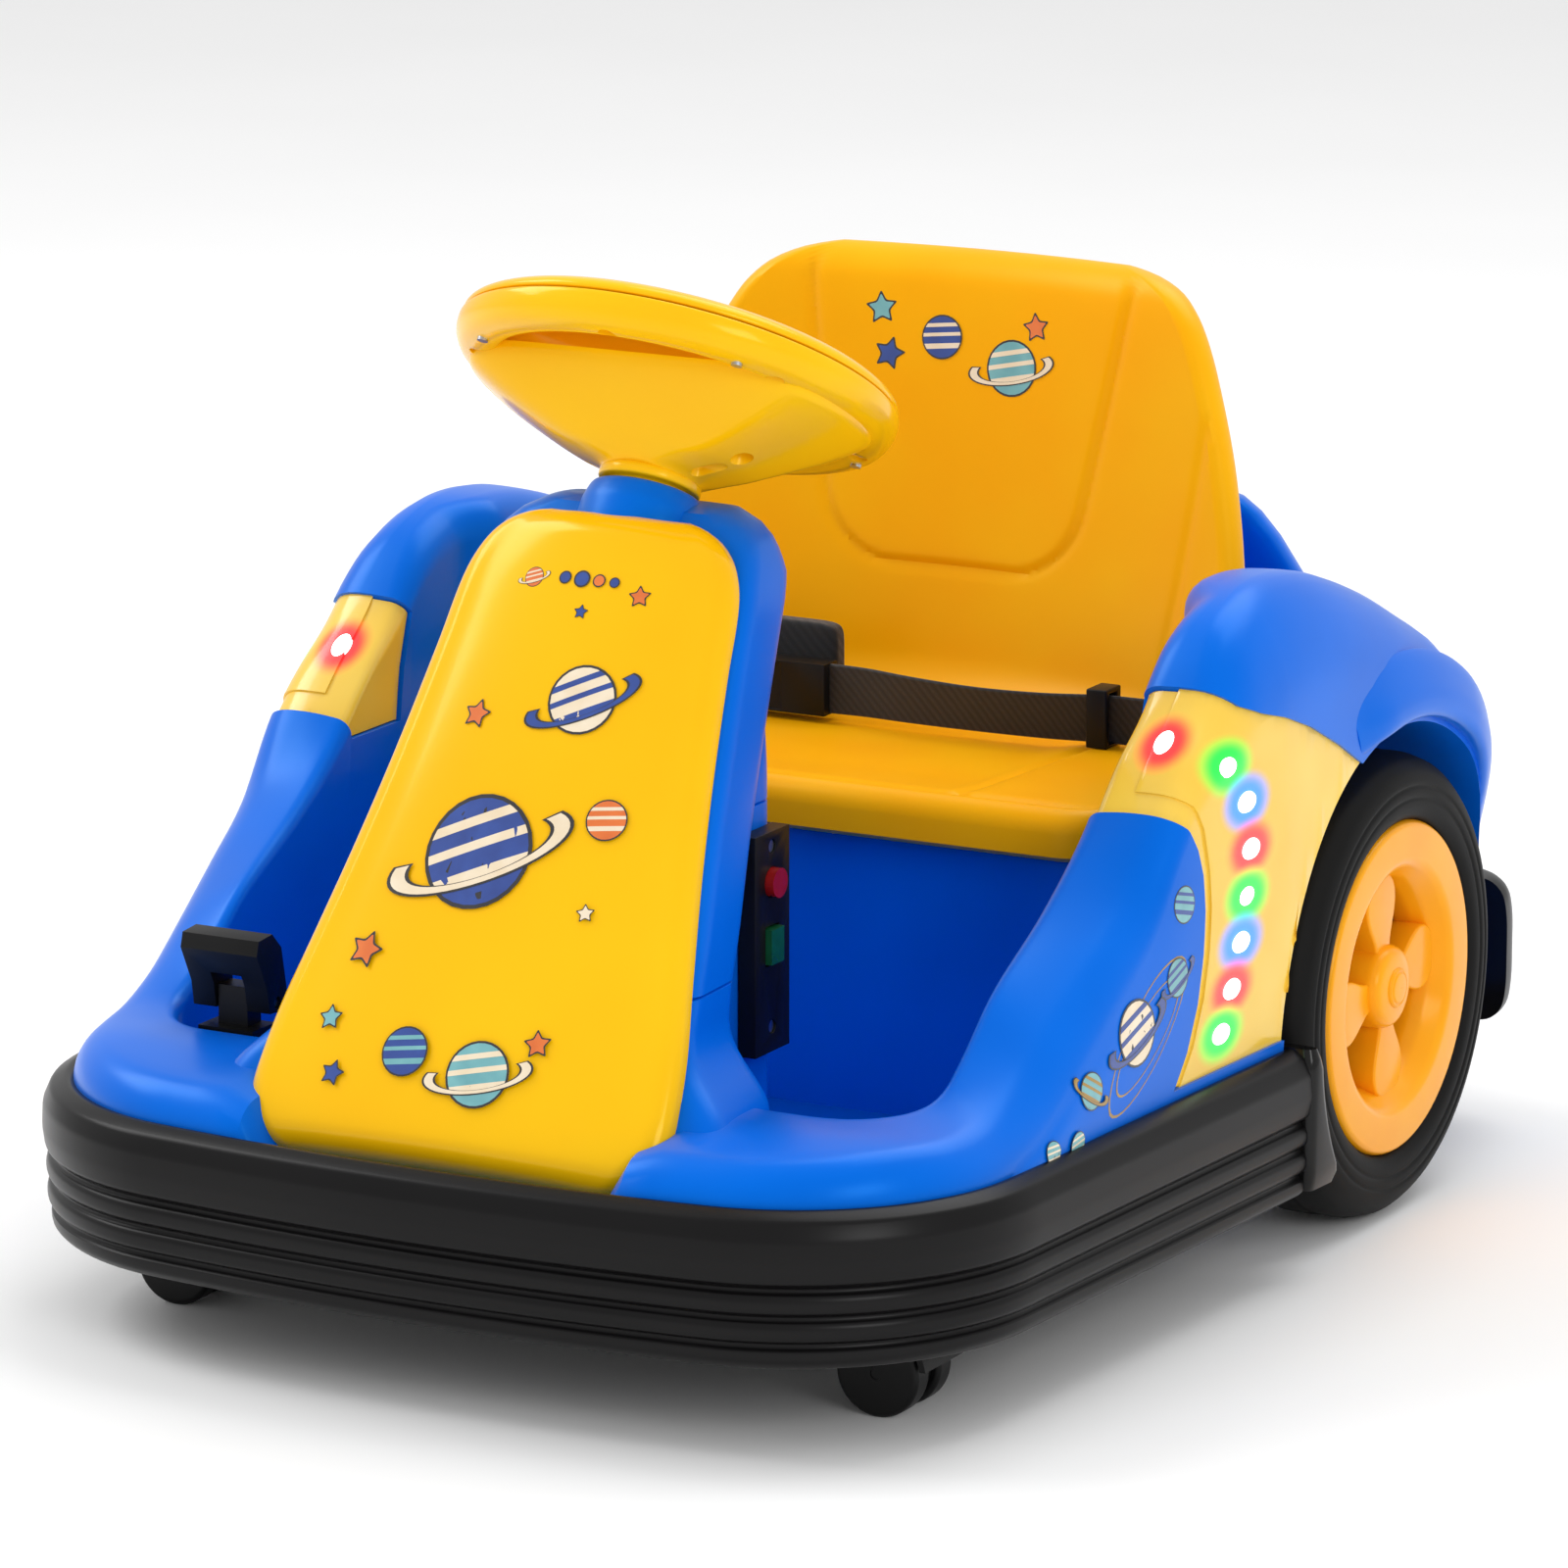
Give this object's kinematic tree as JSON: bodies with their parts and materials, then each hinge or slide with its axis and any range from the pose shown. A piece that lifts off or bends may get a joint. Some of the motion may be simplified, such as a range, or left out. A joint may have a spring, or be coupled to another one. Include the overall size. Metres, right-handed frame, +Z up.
{
  "type": "ride-on bumper car",
  "caption": "Battery ride-on bumper car for a small child: ribbed bumpers, bucket seat, tilted steering wheel, glowing side light panels.",
  "frame": {"origin": "on the floor under the middle of the car", "axes": "+Z up, the front of the car towards -Y, the driver's left towards +X"},
  "size_m": [0.54, 0.72, 0.4972],
  "materials": {
    "blue_shell": "gloss",
    "yellow_shell": "gloss",
    "seat_plastic": "satin",
    "rim_plastic": "gloss",
    "bumper_plastic": "satin",
    "black_plastic": "satin",
    "tyre_foam": "satin",
    "light_diffuser": "gloss",
    "lamp_lens": "gloss",
    "circuit_board": "satin",
    "red_plastic": "gloss",
    "green_plastic": "gloss",
    "webbing": "matte",
    "steel": "satin",
    "nylon": "satin",
    "brass": "satin",
    "battery_case": "satin"
  },
  "bodies": {
    "car": {"axle_nuts": "steel", "axle_washers": "steel", "battery": "battery_case", "belt_adjuster": "black_plastic", "belt_anchor_screws": "steel", "belt_pad": "webbing", "belt_strap_left": "webbing", "belt_strap_right": "webbing", "body_shell": "blue_shell", "buckle_socket": "black_plastic", "buckle_tongue": "black_plastic", "bumper_end_clips": "bumper_plastic", "charging_socket": "black_plastic", "chassis_base": "black_plastic", "control_box": "black_plastic", "control_panel": "black_plastic", "front_bumper": "bumper_plastic", "gearbox_left": "nylon", "gearbox_right": "nylon", "hood_panel": "yellow_shell", "lamp_boards": "circuit_board", "lamps": "lamp_lens", "light_panel_left": "light_diffuser", "light_panel_right": "light_diffuser", "motor_left": "steel", "motor_right": "steel", "panel_screws": "steel", "pedal_bracket": "black_plastic", "pedal_pin": "steel", "pedal_switch": "black_plastic", "rear_axle": "steel", "rear_bumper": "bumper_plastic", "rear_shell": "blue_shell", "seat": "seat_plastic", "speaker": "black_plastic", "steering_bush": "nylon", "steering_collar": "blue_shell", "steering_switch_box": "black_plastic", "tower_shell": "blue_shell"},
    "steering": {"steering_wheel_upper": "yellow_shell", "steering_wheel_lower": "yellow_shell", "steering_shaft": "steel", "steering_screws": "steel"},
    "wheel_left": {"tyre_left": "tyre_foam", "rim_left": "rim_plastic", "hub_cap_left": "rim_plastic", "output_gear_left": "nylon"},
    "wheel_right": {"tyre_right": "tyre_foam", "rim_right": "rim_plastic", "hub_cap_right": "rim_plastic", "output_gear_right": "nylon"},
    "pinion_left": {"motor_pinion_left": "brass"},
    "pinion_right": {"motor_pinion_right": "brass"},
    "caster_left": {"caster_fork_left": "black_plastic"},
    "caster_right": {"caster_fork_right": "black_plastic"},
    "caster_wheels_left_body": {"caster_wheels_left": "black_plastic"},
    "caster_wheels_right_body": {"caster_wheels_right": "black_plastic"},
    "pedal_body": {"pedal": "black_plastic"},
    "button_body": {"power_button": "red_plastic"},
    "rocker_body": {"rocker_switch": "green_plastic"}
  },
  "joints": [
    {"name": "steering_turn", "type": "hinge", "parent": "car", "child": "steering", "pos_m": [0, -0.102, 0.44], "axis": [0, 0.5, 0.866], "range_deg": [-35, 35]},
    {"name": "wheel_left_spin", "type": "hinge", "parent": "car", "child": "wheel_left", "pos_m": [0.228, 0.16, 0.115], "axis": [1, 0, 0], "continuous": true},
    {"name": "wheel_right_spin", "type": "hinge", "parent": "car", "child": "wheel_right", "pos_m": [-0.228, 0.16, 0.115], "axis": [1, 0, 0], "continuous": true},
    {"name": "pinion_left_spin", "type": "hinge", "parent": "car", "child": "pinion_left", "pos_m": [0.176, 0.115, 0.115], "axis": [1, 0, 0], "continuous": true},
    {"name": "pinion_right_spin", "type": "hinge", "parent": "car", "child": "pinion_right", "pos_m": [-0.176, 0.115, 0.115], "axis": [1, 0, 0], "continuous": true},
    {"name": "caster_left_swivel", "type": "hinge", "parent": "car", "child": "caster_left", "pos_m": [0.176, -0.24, 0.055], "axis": [0, 0, 1], "continuous": true},
    {"name": "caster_right_swivel", "type": "hinge", "parent": "car", "child": "caster_right", "pos_m": [-0.176, -0.24, 0.055], "axis": [0, 0, 1], "continuous": true},
    {"name": "caster_left_roll", "type": "hinge", "parent": "caster_left", "child": "caster_wheels_left_body", "pos_m": [0.188, -0.24, 0.021], "axis": [0, 1, 0], "continuous": true},
    {"name": "caster_right_roll", "type": "hinge", "parent": "caster_right", "child": "caster_wheels_right_body", "pos_m": [-0.188, -0.24, 0.021], "axis": [0, 1, 0], "continuous": true},
    {"name": "pedal_press", "type": "hinge", "parent": "car", "child": "pedal_body", "pos_m": [-0.16, -0.24, 0.15], "axis": [1, 0, 0], "range_deg": [0, 12], "stiffness_Nm_per_rad": 0.6, "springref_deg": -17.19},
    {"name": "power_button_press", "type": "slide", "parent": "car", "child": "button_body", "axis": [-1, 0, 0], "range_m": [0, 0.003], "stiffness_N_per_m": 400, "springref_m": -0.002},
    {"name": "rocker_tilt", "type": "hinge", "parent": "car", "child": "rocker_body", "pos_m": [0.0858, -0.1725, 0.19], "axis": [0, 1, 0], "range_deg": [-7, 7]}
  ],
  "couplings": [
    {"joint": "pinion_left_spin", "follows": "wheel_left_spin", "ratio": -4},
    {"joint": "pinion_right_spin", "follows": "wheel_right_spin", "ratio": -4}
  ]
}
